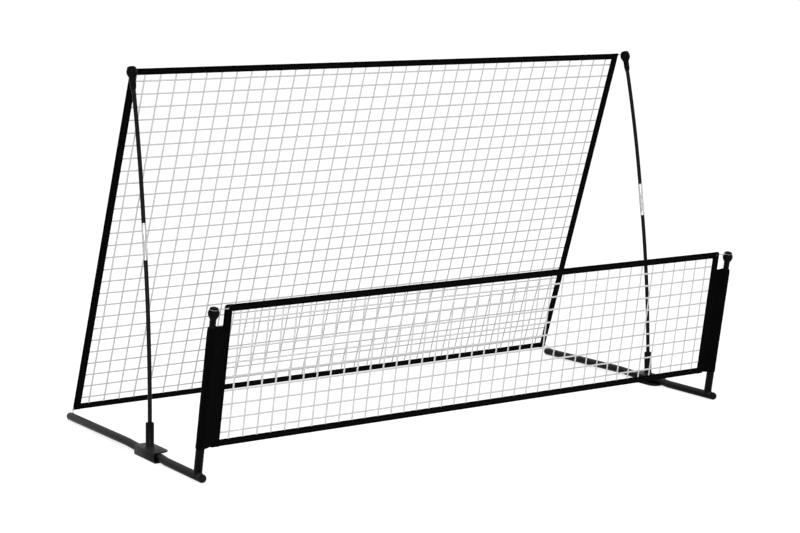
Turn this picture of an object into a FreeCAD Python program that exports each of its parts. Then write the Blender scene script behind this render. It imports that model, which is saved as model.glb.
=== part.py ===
import FreeCAD, Part
import math
import os

# Pitch back rebounder: two steel side frames, two bowed poles and two nets strung between them.
# Millimetres. X runs along the nets, Y from the small net (front) to the large net's foot, Z up.
# The right-hand side frame is modelled at +X and mirrored for the left.

Vector = FreeCAD.Vector

# Base tubes
TUBE_OD = 25.0
TUBE_WALL = 1.5
SIDE_X = 955.7
TUBE_HALF_LENGTH = 450.0
JOGGLE_LENGTH = 37.0
JOGGLE_CLEARANCE = 1.5
TUBE_CREST_Y = 30.0
TUBE_CREST_Z = 18.3
TUBE_REAR_Z = 13.4
BRACKET_TAIL = 11.0

# Folded bracket that wraps the tube and stands on the ground
PLATE = 3.0
BRACKET_FRONT_Y = -190.0
BRACKET_REAR_Y = -56.0
BRACKET_WIDTH = 54.0
BRACKET_CORNER_RADIUS = 25.0
FOLD_RADIUS = 1.5
TUBE_SEAT_GAP = 0.1
TUBE_SIDE_GAP = 4.8

# Pole socket: a tube welded upright on the bracket, lined with a plastic bush
SOCKET_OD = 25.0
SOCKET_WALL = 1.5
SOCKET_HEIGHT = 73.0
SOCKET_INSET = 0.4
SOCKET_Y = -120.0
SOCKET_LEAN = 1.353
BUSH_RIM_HEIGHT = 2.5
BUSH_SEAT_GAP = 0.1

# Poles: a lower and an upper rod that meet inside a ferrule
POLE_D = 12.7
POLE_RUNNING_GAP = 0.07
POLE_BOTTOM_GAP = 0.3
POLE_BOW_RADIUS = 3880.0
BOW_CHORDS = 4
LOWER_BOW_LENGTH = 478.0
UPPER_BOW_LENGTH = 390.0
FERRULE_LENGTH = 108.0
FERRULE_WALL = 0.9
KNOB_STAND_OFF = 52.0

# Knobs on the pole tops and on the front posts
KNOB_BULGE_R = 16.5
KNOB_BULGE_TOP = 2.5
KNOB_BULGE_BOTTOM = -5.5
KNOB_SHOULDER_R = 15.0
KNOB_TOP_HEIGHT = 16.5
KNOB_CROWN_R = 13.2
KNOB_FLAT_R = 7.0
KNOB_GROOVE_R = 10.2
KNOB_GROOVE_WIDTH = 3.6
KNOB_GROOVE_HEIGHT = 9.0
KNOB_NECK_R = 9.4
KNOB_NECK_TOP = -19.0
KNOB_SKIRT_R = 7.2
KNOB_TAPER = 10.0
KNOB_COLLAR_TAPER = 3.0
KNOB_BORE_GAP = 0.05
KNOB_BORE_DEPTH = 46.0

# Front posts, welded to the base tubes near their front ends
POST_OD = 25.0
POST_WALL = 1.5
POST_FOOT_INSET = 27.3
POST_KNOB_INSET = 10.4
POST_RAKE = 93.0
POST_KNOB_Z = 491.9
POST_KNOB_STAND_OFF = 52.0
POST_COLLAR_HEIGHT = 2.0
PLUG_LENGTH = 24.0
PLUG_GAP = 0.1
WELD_GAP = 0.1

# End caps of the base tubes
CAP_RIM = 2.0
CAP_DOME = 11.0
CAP_PLUG_LENGTH = 22.0

# Large net
LARGE_BOTTOM_Y = 440.1
LARGE_BOTTOM_Z = 71.6
LARGE_TOP_Y = 43.2
LARGE_TOP_Z = 1094.2
LARGE_BOTTOM_INSET = 62.4
LARGE_TOP_INSET = 84.9
LARGE_COLUMNS = 34
LARGE_ROWS = 26
LARGE_TOP_MARGIN = 19.9
LARGE_BOTTOM_MARGIN = 21.5
LARGE_SIDE_MARGIN = 26.5

# Small net
SMALL_BOTTOM_FORWARD = 20.2
SMALL_BOTTOM_Z = 134.5
SMALL_TOP_FORWARD = 82.5
SMALL_TOP_Z = 462.3
SMALL_POST_GAP = 88.4
SMALL_COLUMNS = 38
SMALL_ROWS = 8
SMALL_TOP_MARGIN = 28.0
SMALL_BOTTOM_MARGIN = 21.0
SMALL_SIDE_MARGIN = 28.0

# Net strands and border tape
STRAND_WIDTH = 4.0
STRAND_THICKNESS = 1.5
TAPE_WIDTH = 21.0
SIDE_TAPE_WIDTH = 25.0
TAPE_THICKNESS = 4.0

# Fabric sleeves that slip over the front posts
SLEEVE_BOTTOM = -40.0
SLEEVE_TOP = 322.5
SLEEVE_WALL = 0.8
SLEEVE_EASE = 0.3
SLEEVE_FLAP = 3.0

# Corner cords
CORD_D = 3.0
CORD_EASE = 0.2
CORD_SEAT_GAP = 0.3
REAR_CORD_TUBE_Y = 431.0

# The frame's origin lies under the middle of the footprint, not under the middle of the tubes
FOOTPRINT_SHIFT = 34.4

TUBE_R = TUBE_OD / 2
SOCKET_R = SOCKET_OD / 2
POLE_R = POLE_D / 2
POST_R = POST_OD / 2
CORD_R = CORD_D / 2
BRACKET_OUTER_X = SIDE_X + TUBE_R + TUBE_SIDE_GAP + PLATE
BRACKET_INNER_X = BRACKET_OUTER_X - BRACKET_WIDTH
JOGGLE_HEAD_Y = BRACKET_FRONT_Y - JOGGLE_CLEARANCE
JOGGLE_FOOT_Y = JOGGLE_HEAD_Y - JOGGLE_LENGTH
BRACKET_TAIL_Y = BRACKET_REAR_Y + BRACKET_TAIL
SOCKET_X = SIDE_X - SOCKET_INSET
POST_KNOB_X = SIDE_X - POST_KNOB_INSET
POST_FOOT_Y = POST_FOOT_INSET - TUBE_HALF_LENGTH
POST_KNOB_Y = POST_FOOT_Y - POST_RAKE
SMALL_BOTTOM_Y = POST_FOOT_Y - SMALL_BOTTOM_FORWARD
SMALL_TOP_Y = POST_FOOT_Y - SMALL_TOP_FORWARD
BRACKET_TUBE_Z = PLATE + TUBE_SEAT_GAP + TUBE_R
BRACKET_TOP_Z = BRACKET_TUBE_Z + TUBE_R + TUBE_SEAT_GAP + PLATE


def polygon(points):
    return Part.Face(Part.makePolygon(list(points) + [points[0]]))


def stood_on(shape, origin, axis):
    """The shape, modelled along Z, turned so that Z becomes the axis and moved to the origin."""
    turned = shape.copy()
    turned.Placement = FreeCAD.Placement(origin, FreeCAD.Rotation(Vector(0, 0, 1), axis))
    return turned


def mitred_bar(points, radius):
    """A round bar along slightly cranked runs that meet in mitres."""
    runs = list(zip(points, points[1:]))
    leans = [(end - start).normalize() for start, end in runs]
    bar = None
    for index, (start, end) in enumerate(runs):
        before = leans[max(index - 1, 0)] + leans[index]
        after = leans[index] + leans[min(index + 1, len(leans) - 1)]
        spare = leans[index] * radius
        piece = Part.makeCylinder(radius, (end - start).Length + 2 * radius, start - spare, leans[index])
        piece = piece.cut(Part.makeCylinder(3 * radius, 3 * radius, start, before * -1))
        piece = piece.cut(Part.makeCylinder(3 * radius, 3 * radius, end, after))
        bar = piece if bar is None else bar.fuse(piece)
    return bar


def turned(outline):
    """A turned solid from radius and height pairs that start and end on the axis."""
    return polygon([Vector(r, 0, z) for r, z in outline]).revolve(Vector(0, 0, 0), Vector(0, 0, 1), 360)


def straight_cord(start, end):
    return Part.makeCylinder(CORD_R, (end - start).Length, start, end - start)


# Side frame

def tube_points():
    """Flat on the ground in front, cranked up over the bracket's foot, falling to the rear."""
    return [
        Vector(SIDE_X, -TUBE_HALF_LENGTH, TUBE_R),
        Vector(SIDE_X, JOGGLE_FOOT_Y, TUBE_R),
        Vector(SIDE_X, JOGGLE_HEAD_Y, BRACKET_TUBE_Z),
        Vector(SIDE_X, BRACKET_TAIL_Y, BRACKET_TUBE_Z),
        Vector(SIDE_X, TUBE_CREST_Y, TUBE_CREST_Z),
        Vector(SIDE_X, TUBE_HALF_LENGTH, TUBE_REAR_Z),
    ]


def base_tube():
    points = tube_points()
    return mitred_bar(points, TUBE_R).cut(mitred_bar(points, TUBE_R - TUBE_WALL))


def end_cap():
    """A domed plug: shank in the tube's bore, rim and dome outside."""
    shank_r = TUBE_R - TUBE_WALL - PLUG_GAP
    end = CAP_RIM + CAP_DOME
    return turned([
        (0, -CAP_PLUG_LENGTH),
        (shank_r, -CAP_PLUG_LENGTH),
        (shank_r, 0),
        (TUBE_R, 0),
        (TUBE_R, CAP_RIM),
        (0.78 * TUBE_R, end - 0.42 * CAP_DOME),
        (0.4 * TUBE_R, end),
        (0, end),
    ])


def end_caps():
    points = tube_points()
    front = stood_on(end_cap(), points[0], points[0] - points[1])
    rear = stood_on(end_cap(), points[-1], points[-1] - points[-2])
    return Part.makeCompound([front, rear])


def bracket():
    """One plate folded into a channel that lies open to the inner side."""
    width = BRACKET_OUTER_X - BRACKET_INNER_X
    length = BRACKET_REAR_Y - BRACKET_FRONT_Y
    channel = Part.makeBox(width, length, BRACKET_TOP_Z, Vector(BRACKET_INNER_X, BRACKET_FRONT_Y, 0))
    outer_folds = [edge for edge in channel.Edges
                   if edge.Length == length and edge.CenterOfMass.x > SIDE_X]
    channel = channel.makeFillet(FOLD_RADIUS + PLATE, outer_folds)
    hollow = Part.makeBox(width, length, BRACKET_TOP_Z - 2 * PLATE,
                          Vector(BRACKET_INNER_X - PLATE, BRACKET_FRONT_Y, PLATE))
    inner_folds = [edge for edge in hollow.Edges
                   if edge.Length == length and edge.CenterOfMass.x > SIDE_X]
    hollow = hollow.makeFillet(FOLD_RADIUS, inner_folds)
    channel = channel.cut(hollow)
    outline = Part.makeBox(width, length, BRACKET_TOP_Z, Vector(BRACKET_INNER_X, BRACKET_FRONT_Y, 0))
    inner_corners = [edge for edge in outline.Edges
                     if edge.Length == BRACKET_TOP_Z and edge.CenterOfMass.x < SIDE_X]
    return channel.common(outline.makeFillet(BRACKET_CORNER_RADIUS, inner_corners))


# Poles. Each is drawn flat, bowing to +Y, and then leans inward with its socket.

class Bow:
    """The pole's centre line in its own plane, followed upward from the bracket's top plate."""

    def __init__(self):
        self.y = 0.0
        self.z = 0.0
        self.lean = 0.0

    def point(self):
        return Vector(0, self.y, self.z)

    def axis(self):
        return Vector(0, math.sin(self.lean), math.cos(self.lean))

    def straight(self, length):
        self.y += length * math.sin(self.lean)
        self.z += length * math.cos(self.lean)
        return [self.point()]

    def bowed(self, length):
        """The bow as short chords of its arc."""
        points = []
        for _ in range(BOW_CHORDS):
            leaned = self.lean + length / BOW_CHORDS / POLE_BOW_RADIUS
            self.y += POLE_BOW_RADIUS * (math.cos(self.lean) - math.cos(leaned))
            self.z += POLE_BOW_RADIUS * (math.sin(leaned) - math.sin(self.lean))
            self.lean = leaned
            points.append(self.point())
        return points


def in_socket(shape):
    """From the pole's own plane to its place on the bracket."""
    placed = shape.copy()
    placed.rotate(Vector(0, 0, 0), Vector(0, 1, 0), -SOCKET_LEAN)
    placed.translate(Vector(SOCKET_X, SOCKET_Y, BRACKET_TOP_Z))
    return placed


def pole_parts():
    """Lower rod, ferrule, and upper rod with its knob, each in its place."""
    bow = Bow()
    bow.z = POLE_BOTTOM_GAP
    lower = [bow.point()]
    lower += bow.straight(SOCKET_HEIGHT + BUSH_RIM_HEIGHT - POLE_BOTTOM_GAP)
    lower += bow.bowed(LOWER_BOW_LENGTH)
    ferrule_start = bow.point()
    ferrule_axis = bow.axis()
    lower += bow.straight(FERRULE_LENGTH / 2)
    upper = bow.straight(POLE_BOTTOM_GAP)
    upper += bow.straight(FERRULE_LENGTH / 2 - POLE_BOTTOM_GAP)
    upper += bow.bowed(UPPER_BOW_LENGTH)
    upper += bow.straight(KNOB_BORE_DEPTH - KNOB_GROOVE_HEIGHT)
    bow.straight(KNOB_STAND_OFF - KNOB_BORE_DEPTH + KNOB_GROOVE_HEIGHT)
    bore = POLE_R + POLE_RUNNING_GAP
    ferrule = Part.makeCylinder(bore + FERRULE_WALL, FERRULE_LENGTH, ferrule_start, ferrule_axis)
    ferrule = ferrule.cut(Part.makeCylinder(bore, FERRULE_LENGTH, ferrule_start, ferrule_axis))
    knob = stood_on(top_knob(), bow.point(), bow.axis())
    return {
        "pole_lower": in_socket(mitred_bar(lower, POLE_R)),
        "ferrule": in_socket(ferrule),
        "pole_upper": in_socket(Part.makeCompound([mitred_bar(upper, POLE_R), knob])),
    }


def knob_frame():
    """Centre and axis of the top knob, in the assembly."""
    bow = Bow()
    bow.straight(SOCKET_HEIGHT + BUSH_RIM_HEIGHT)
    bow.bowed(LOWER_BOW_LENGTH)
    bow.straight(FERRULE_LENGTH)
    bow.bowed(UPPER_BOW_LENGTH)
    bow.straight(KNOB_STAND_OFF)
    turn = FreeCAD.Rotation(Vector(0, 1, 0), -SOCKET_LEAN)
    centre = turn.multVec(bow.point()) + Vector(SOCKET_X, SOCKET_Y, BRACKET_TOP_Z)
    return centre, turn.multVec(bow.axis())


def pole_socket():
    """Socket tube, trimmed to sit flush on the bracket's top plate."""
    below = 2.0
    tube = Part.makeCylinder(SOCKET_R, SOCKET_HEIGHT + below, Vector(0, 0, -below))
    tube = tube.cut(Part.makeCylinder(SOCKET_R - SOCKET_WALL, SOCKET_HEIGHT + below, Vector(0, 0, -below)))
    under = Part.makeBox(4 * SOCKET_OD, 4 * SOCKET_OD, SOCKET_OD,
                         Vector(SOCKET_X - 2 * SOCKET_OD, SOCKET_Y - 2 * SOCKET_OD,
                                BRACKET_TOP_Z - SOCKET_OD))
    return in_socket(tube).cut(under)


def socket_bush():
    """Plastic liner: a rim on the socket's mouth and a bore for the pole."""
    outer_r = SOCKET_R - SOCKET_WALL - BUSH_SEAT_GAP
    bore_r = POLE_R + POLE_RUNNING_GAP
    foot = 1.0
    body = Part.makeCylinder(outer_r, SOCKET_HEIGHT - foot, Vector(0, 0, foot))
    rim = Part.makeCone(SOCKET_R, SOCKET_R - BUSH_RIM_HEIGHT / 2, BUSH_RIM_HEIGHT,
                        Vector(0, 0, SOCKET_HEIGHT))
    bore = Part.makeCylinder(bore_r, SOCKET_HEIGHT + BUSH_RIM_HEIGHT, Vector(0, 0, 0))
    return in_socket(body.fuse(rim).removeSplitter().cut(bore))


# Knobs

def knob_outline():
    """Radius and height from the crown down to the neck: crown, cord groove and bulge."""
    groove_top = KNOB_GROOVE_HEIGHT + KNOB_GROOVE_WIDTH / 2
    groove_bottom = KNOB_GROOVE_HEIGHT - KNOB_GROOVE_WIDTH / 2
    return [
        (0, KNOB_TOP_HEIGHT),
        (KNOB_FLAT_R, KNOB_TOP_HEIGHT),
        (KNOB_CROWN_R, groove_top),
        (KNOB_GROOVE_R, groove_top),
        (KNOB_GROOVE_R, groove_bottom),
        (KNOB_SHOULDER_R, groove_bottom),
        (KNOB_BULGE_R, KNOB_BULGE_TOP),
        (KNOB_BULGE_R, KNOB_BULGE_BOTTOM),
        (KNOB_NECK_R, KNOB_NECK_TOP),
    ]


def top_knob():
    """Knob whose neck is pushed down over the pole's end."""
    neck_end = -KNOB_STAND_OFF
    solid = turned(knob_outline() + [
        (KNOB_NECK_R, neck_end + KNOB_TAPER),
        (KNOB_SKIRT_R, neck_end),
        (0, neck_end),
    ])
    bore_depth = KNOB_BORE_DEPTH - KNOB_GROOVE_HEIGHT + 1.0
    return solid.cut(Part.makeCylinder(POLE_R + KNOB_BORE_GAP, bore_depth, Vector(0, 0, neck_end)))


def post_knob():
    """Knob on a neck, with a collar that closes the post and a plug inside it."""
    neck_end = -POST_KNOB_STAND_OFF
    plug_end = neck_end - PLUG_LENGTH
    plug_r = POST_R - POST_WALL - PLUG_GAP
    collar_top = neck_end + POST_COLLAR_HEIGHT
    return turned(knob_outline() + [
        (KNOB_NECK_R, collar_top + KNOB_COLLAR_TAPER),
        (POST_R, collar_top),
        (POST_R, neck_end),
        (plug_r, neck_end),
        (plug_r, plug_end),
        (0, plug_end),
    ])


# Front posts

def post_frame():
    """Foot on the base tube's centre line, knob centre and direction of a front post."""
    foot = Vector(SIDE_X, POST_FOOT_Y, TUBE_R)
    knob = Vector(POST_KNOB_X, POST_KNOB_Y, POST_KNOB_Z)
    return foot, knob, (knob - foot).normalize()


def post_x(z):
    """Where the right-hand post's centre line passes a height."""
    foot, knob, axis = post_frame()
    return foot.x + axis.x * (z - foot.z) / axis.z


def front_post():
    foot, knob, axis = post_frame()
    length = (knob - foot).Length - POST_KNOB_STAND_OFF
    post = Part.makeCylinder(POST_R, length, foot, axis)
    post = post.cut(Part.makeCylinder(POST_R - POST_WALL, length, foot, axis))
    saddle = Part.makeCylinder(TUBE_R + WELD_GAP, 4 * TUBE_OD,
                               Vector(SIDE_X, POST_FOOT_Y - 2 * TUBE_OD, TUBE_R), Vector(0, 1, 0))
    pieces = post.cut(saddle).Solids
    return max(pieces, key=lambda piece: piece.Volume)


def front_knob():
    foot, knob, axis = post_frame()
    return stood_on(post_knob(), knob, axis)


# Nets. Each is drawn in its own plane: across (X), up the net, and its thickness.

class NetPlane:
    """A net's plane, its rows and columns, and the tape around them."""

    def __init__(self, bottom, top, bottom_half, top_half, columns, rows, margins):
        self.bottom = Vector(0, *bottom)
        rise = Vector(0, *top) - self.bottom
        self.height = rise.Length
        self.up = rise.normalize()
        self.out = Vector(1, 0, 0).cross(self.up)
        self.bottom_half = bottom_half
        self.top_half = top_half
        self.columns = columns
        self.rows = rows
        self.top_margin, self.bottom_margin, self.side_margin = margins
        self.low = -self.bottom_margin
        self.high = self.height + self.top_margin

    def half(self, up):
        """Half width between the outermost columns at a height up the net."""
        return self.bottom_half + (self.top_half - self.bottom_half) * up / self.height

    def point(self, across, up, out=0.0):
        return Vector(across, 0, 0) + self.bottom + self.up * up + self.out * out

    def slab(self, corners, out_from, out_to):
        """A flat piece between two levels of the net's thickness."""
        face = polygon([self.point(across, up, out_from) for across, up in corners])
        return face.extrude(self.out * (out_to - out_from))

    def upright_strands(self):
        strands = []
        for column in range(self.columns + 1):
            share = 2.0 * column / self.columns - 1.0
            low_x = share * self.half(self.low)
            high_x = share * self.half(self.high)
            side = STRAND_WIDTH / 2
            corners = [(low_x - side, self.low), (low_x + side, self.low),
                       (high_x + side, self.high), (high_x - side, self.high)]
            strands.append(self.slab(corners, 0, STRAND_THICKNESS))
        return Part.makeCompound(strands)

    def level_strands(self):
        strands = []
        for row in range(self.rows + 1):
            up = self.height * row / self.rows
            low = up - STRAND_WIDTH / 2
            high = up + STRAND_WIDTH / 2
            low_x = self.half(low) + self.side_margin
            high_x = self.half(high) + self.side_margin
            corners = [(-low_x, low), (low_x, low), (high_x, high), (-high_x, high)]
            strands.append(self.slab(corners, -STRAND_THICKNESS, 0))
        return Part.makeCompound(strands)

    def tape(self, corners):
        return self.slab(corners, -TAPE_THICKNESS / 2, TAPE_THICKNESS / 2)

    def cross_tape(self, low, high):
        low_x = self.half(low) + self.side_margin
        high_x = self.half(high) + self.side_margin
        return self.tape([(-low_x, low), (low_x, low), (high_x, high), (-high_x, high)])

    def top_tape(self):
        return self.cross_tape(self.high, self.high + TAPE_WIDTH)

    def bottom_tape(self):
        return self.cross_tape(self.low - TAPE_WIDTH, self.low)

    def side_tape(self):
        low = self.low - TAPE_WIDTH
        high = self.high + TAPE_WIDTH
        low_x = self.half(low) + self.side_margin
        high_x = self.half(high) + self.side_margin
        return self.tape([(low_x, low), (low_x + SIDE_TAPE_WIDTH, low),
                          (high_x + SIDE_TAPE_WIDTH, high), (high_x, high)])

    def corner(self, high_end):
        """Middle of the tape at a right-hand corner: across and up."""
        up = self.high + TAPE_WIDTH / 2 if high_end else self.low - TAPE_WIDTH / 2
        return self.half(up) + self.side_margin + SIDE_TAPE_WIDTH / 2, up


LARGE_NET = NetPlane((LARGE_BOTTOM_Y, LARGE_BOTTOM_Z), (LARGE_TOP_Y, LARGE_TOP_Z),
                     SIDE_X - LARGE_BOTTOM_INSET, SIDE_X - LARGE_TOP_INSET, LARGE_COLUMNS, LARGE_ROWS,
                     (LARGE_TOP_MARGIN, LARGE_BOTTOM_MARGIN, LARGE_SIDE_MARGIN))
SMALL_NET = NetPlane((SMALL_BOTTOM_Y, SMALL_BOTTOM_Z), (SMALL_TOP_Y, SMALL_TOP_Z),
                     post_x(SMALL_BOTTOM_Z) - SMALL_POST_GAP, post_x(SMALL_TOP_Z) - SMALL_POST_GAP,
                     SMALL_COLUMNS, SMALL_ROWS,
                     (SMALL_TOP_MARGIN, SMALL_BOTTOM_MARGIN, SMALL_SIDE_MARGIN))


def sleeve_section(net, up):
    """Outline of the sleeve at a height: round the post, tapering to the seam on the net's tape."""
    foot, knob, axis = post_frame()
    seam_x = net.half(up) + net.side_margin + SIDE_TAPE_WIDTH + SLEEVE_EASE
    seam = net.point(seam_x, up)
    along = (seam - foot).dot(net.up) / axis.dot(net.up)
    centre = foot + axis * along
    reach = (seam - centre).dot(Vector(1, 0, 0))
    lift = (seam - centre).dot(net.out)
    radius = POST_R + SLEEVE_EASE + SLEEVE_WALL

    def at(across, out):
        return centre + Vector(1, 0, 0) * across + net.out * out

    flap_front = at(reach, lift + SLEEVE_FLAP / 2)
    flap_back = at(reach, lift - SLEEVE_FLAP / 2)
    tangent = math.acos(radius / abs(reach))
    front_angle = math.pi - tangent
    front = at(radius * math.cos(front_angle), radius * math.sin(front_angle))
    back = at(radius * math.cos(front_angle), -radius * math.sin(front_angle))
    outer = at(radius, 0)
    return Part.Wire([
        Part.makeLine(flap_back, flap_front),
        Part.makeLine(flap_front, front),
        Part.Arc(front, outer, back).toShape(),
        Part.makeLine(back, flap_back),
    ])


def sleeve():
    foot, knob, axis = post_frame()
    body = Part.makeLoft([sleeve_section(SMALL_NET, SLEEVE_BOTTOM),
                          sleeve_section(SMALL_NET, SLEEVE_TOP)], True, True)
    bore = Part.makeCylinder(POST_R + SLEEVE_EASE, (knob - foot).Length, foot, axis)
    return body.cut(bore)


# Corner cords

def knob_cord(centre, axis, net, tie):
    """A cord from the net's upper corner to the groove of a knob, in the plane of the groove."""
    middle = centre + axis * KNOB_GROOVE_HEIGHT
    flat_tie = tie + net.up * ((middle - tie).dot(axis) / net.up.dot(axis))
    towards = (flat_tie - middle).normalize()
    return straight_cord(flat_tie, middle + towards * (KNOB_GROOVE_R + CORD_EASE))


def before_tape(net, high_end):
    """Where a corner cord leaves the front of the tape."""
    across, up = net.corner(high_end)
    return net.point(across, up, TAPE_THICKNESS / 2 + CORD_SEAT_GAP + CORD_R)


def beside_tape(net):
    """Where a cord leaves the outer edge of the tape near an upper corner."""
    across, up = net.corner(True)
    return net.point(across + SIDE_TAPE_WIDTH / 2 + CORD_SEAT_GAP + CORD_R, up)


def top_cord():
    centre, axis = knob_frame()
    return knob_cord(centre, axis, LARGE_NET, beside_tape(LARGE_NET))


def front_cord():
    foot, knob, axis = post_frame()
    return knob_cord(knob, axis, SMALL_NET, before_tape(SMALL_NET, True))


def rear_cord():
    tie = before_tape(LARGE_NET, False)
    fall = (TUBE_REAR_Z - TUBE_CREST_Z) / (TUBE_HALF_LENGTH - TUBE_CREST_Y)
    tube_z = TUBE_CREST_Z + fall * (REAR_CORD_TUBE_Y - TUBE_CREST_Y)
    seat = Vector(SIDE_X, REAR_CORD_TUBE_Y, tube_z + TUBE_R + CORD_R + CORD_EASE)
    return straight_cord(tie, seat)


def side_parts():
    """Everything that comes in a right and a left copy, modelled on the right."""
    parts = {
        "base_tube": base_tube(),
        "bracket": bracket(),
        "pole_socket": pole_socket(),
        "front_post": front_post(),
        "large_net_side_tape": LARGE_NET.side_tape(),
        "small_net_side_tape": SMALL_NET.side_tape(),
        "sleeve": sleeve(),
        "top_cord": top_cord(),
        "front_cord": front_cord(),
        "rear_cord": rear_cord(),
    }
    parts.update(pole_parts())
    return parts


def both_sides(shape):
    """The shape and its mirror image, as separate solids of one node."""
    return Part.makeCompound([shape, shape.mirror(Vector(0, 0, 0), Vector(1, 0, 0))])


def shared_parts():
    """The nets' middles, and small pieces whose copies share one node."""
    return {
        "end_caps": both_sides(end_caps()),
        "socket_bushes": both_sides(socket_bush()),
        "front_knobs": both_sides(front_knob()),
        "large_net_uprights": LARGE_NET.upright_strands(),
        "large_net_rows": LARGE_NET.level_strands(),
        "large_net_top_tape": LARGE_NET.top_tape(),
        "large_net_bottom_tape": LARGE_NET.bottom_tape(),
        "small_net_uprights": SMALL_NET.upright_strands(),
        "small_net_rows": SMALL_NET.level_strands(),
        "small_net_top_tape": SMALL_NET.top_tape(),
        "small_net_bottom_tape": SMALL_NET.bottom_tape(),
    }


def write(name, shape):
    placed = shape.copy()
    placed.translate(Vector(0, FOOTPRINT_SHIFT, 0))
    placed.exportStep(os.path.join("parts", name + ".step"))
    box = placed.BoundBox
    print(name, len(placed.Solids), placed.isValid(), round(placed.Volume),
          [round(value, 1) for value in (box.XMin, box.YMin, box.ZMin, box.XMax, box.YMax, box.ZMax)])


os.makedirs("parts", exist_ok=True)
for name, shape in side_parts().items():
    write(name + "_right", shape)
    write(name + "_left", shape.mirror(Vector(0, 0, 0), Vector(1, 0, 0)))
for name, shape in shared_parts().items():
    write(name, shape)
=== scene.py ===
import math

import bmesh
import bpy
from mathutils import Matrix, Vector


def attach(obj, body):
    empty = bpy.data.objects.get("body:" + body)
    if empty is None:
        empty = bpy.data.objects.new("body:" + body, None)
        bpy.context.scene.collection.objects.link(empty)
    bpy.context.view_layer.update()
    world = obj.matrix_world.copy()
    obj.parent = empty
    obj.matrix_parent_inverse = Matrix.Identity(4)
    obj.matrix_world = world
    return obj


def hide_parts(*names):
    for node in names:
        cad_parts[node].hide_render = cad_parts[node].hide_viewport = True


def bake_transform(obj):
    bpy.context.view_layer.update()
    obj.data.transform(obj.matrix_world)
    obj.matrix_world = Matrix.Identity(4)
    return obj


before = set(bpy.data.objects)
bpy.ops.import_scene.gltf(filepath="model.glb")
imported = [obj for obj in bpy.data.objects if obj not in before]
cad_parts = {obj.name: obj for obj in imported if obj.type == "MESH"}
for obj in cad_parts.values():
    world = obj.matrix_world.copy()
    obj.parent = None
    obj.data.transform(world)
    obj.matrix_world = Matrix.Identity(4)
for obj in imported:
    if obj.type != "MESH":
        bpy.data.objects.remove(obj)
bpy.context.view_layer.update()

MM = 0.001
X_AXIS = Vector((1, 0, 0))
Z_AXIS = Vector((0, 0, 1))

# Base tubes, with their side view points (y, z) in millimetres from front to rear
TUBE_RADIUS = 12.5 * MM
SIDE_X = 955.7 * MM
TUBE_LINE = [(-415.6, 12.5), (-194.1, 12.5), (-157.1, 15.6), (-10.6, 15.6), (64.4, 18.3), (484.4, 13.4)]
JOGGLE_BEND = 6.0 * MM
PLUG_RADIUS = 10.8 * MM

# Folded bracket
BRACKET_LOW = Vector((922.0, -155.6, 0.0)) * MM
BRACKET_HIGH = Vector((976.0, -21.6, 31.2)) * MM
PLATE = 3.0 * MM
BRACKET_CORNER = 25.0 * MM
FOLD = 4.5 * MM
PLATE_EDGE = 0.5 * MM

# Pole socket and pole, drawn upright from the bracket's top plate
SOCKET_FOOT = Vector((955.3, -85.6, 31.2)) * MM
SOCKET_LEAN = math.radians(1.353)
SOCKET_HEIGHT = 73.0 * MM
SOCKET_RADIUS = 12.5 * MM
SOCKET_BORE = 11.0 * MM
BUSH_RIM = 2.5 * MM
POLE_RADIUS = 6.35 * MM
BOW_RADIUS = 3880.0 * MM
BOW_STEPS = 14
LOWER_BOW_LENGTH = 478.0 * MM
UPPER_BOW_LENGTH = 390.0 * MM
FERRULE = 108.0 * MM
FERRULE_RADIUS = 7.32 * MM
FERRULE_GAP = 0.07 * MM
KNOB_STAND_OFF = 52.0 * MM
KNOB_SEAT = 37.0 * MM
KNOB_GROOVE_HEIGHT = 9.0 * MM
KNOB_GROOVE_RADIUS = 10.2 * MM
KNOB_GROOVE_HALF_HEIGHT = 1.8 * MM

# Front posts
POST_FOOT = Vector((955.7, -388.3, 12.5)) * MM
POST_KNOB = Vector((945.3, -481.3, 491.9)) * MM
POST_AXIS = (POST_KNOB - POST_FOOT).normalized()
POST_RADIUS = 12.5 * MM
POST_LENGTH = (POST_KNOB - POST_FOOT).length - KNOB_STAND_OFF
WELD_LUMPS = 40
WELD_RADIUS = 2.2 * MM

# Net strands; each wave of their waver has a rate, a shift from strand to strand and a share
STRAND = 5.7 * MM
STRAND_FLATNESS = 0.28
STRAND_OFFSET = 0.6 * MM
STRAND_WAVER = 0.15 * MM
STRAND_WAVES = ((31, 2.3, 1.0), (83, 4.1, 0.6))
KNOT_SIZE = (3.0 * MM, 1.4 * MM, 3.0 * MM, 1)
STRAND_TUCK = 3.0 * MM

# Border tapes, with the rates of their ripple's waves and their section as shares of width and thickness
TAPE_WIDTH = 21.0 * MM
SIDE_TAPE_WIDTH = 25.0 * MM
CROSS_TAPE_THICKNESS = 3.2 * MM
TAPE_THICKNESS = 4.0 * MM
TAPE_OVERLAP = 9.0 * MM
TAPE_RIPPLE = 0.25 * MM
TAPE_WAVES = (158, 31)
TAPE_STEP = 12.0 * MM
TAPE_END_STEPS = [0.0, 0.4 * MM, 1.2 * MM, 2.4 * MM, 4.2 * MM, 7.0 * MM]
TAPE_PROFILE = [
    (-0.5, 0.0), (-0.485, 0.32), (-0.44, 0.5), (-0.15, 0.47), (-0.03, 0.34), (0.03, 0.34), (0.15, 0.47),
    (0.44, 0.5), (0.485, 0.32), (0.5, 0.0), (0.485, -0.32), (0.44, -0.5), (0.15, -0.47), (0.03, -0.34),
    (-0.03, -0.34), (-0.15, -0.47), (-0.44, -0.5), (-0.485, -0.32)]
SEAM_THREAD_WIDTH = 0.9 * MM
SEAM_DEPTH = 0.36
STITCH_PITCH = 7.0 * MM
STITCH_LENGTH = 5.6 * MM

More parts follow.
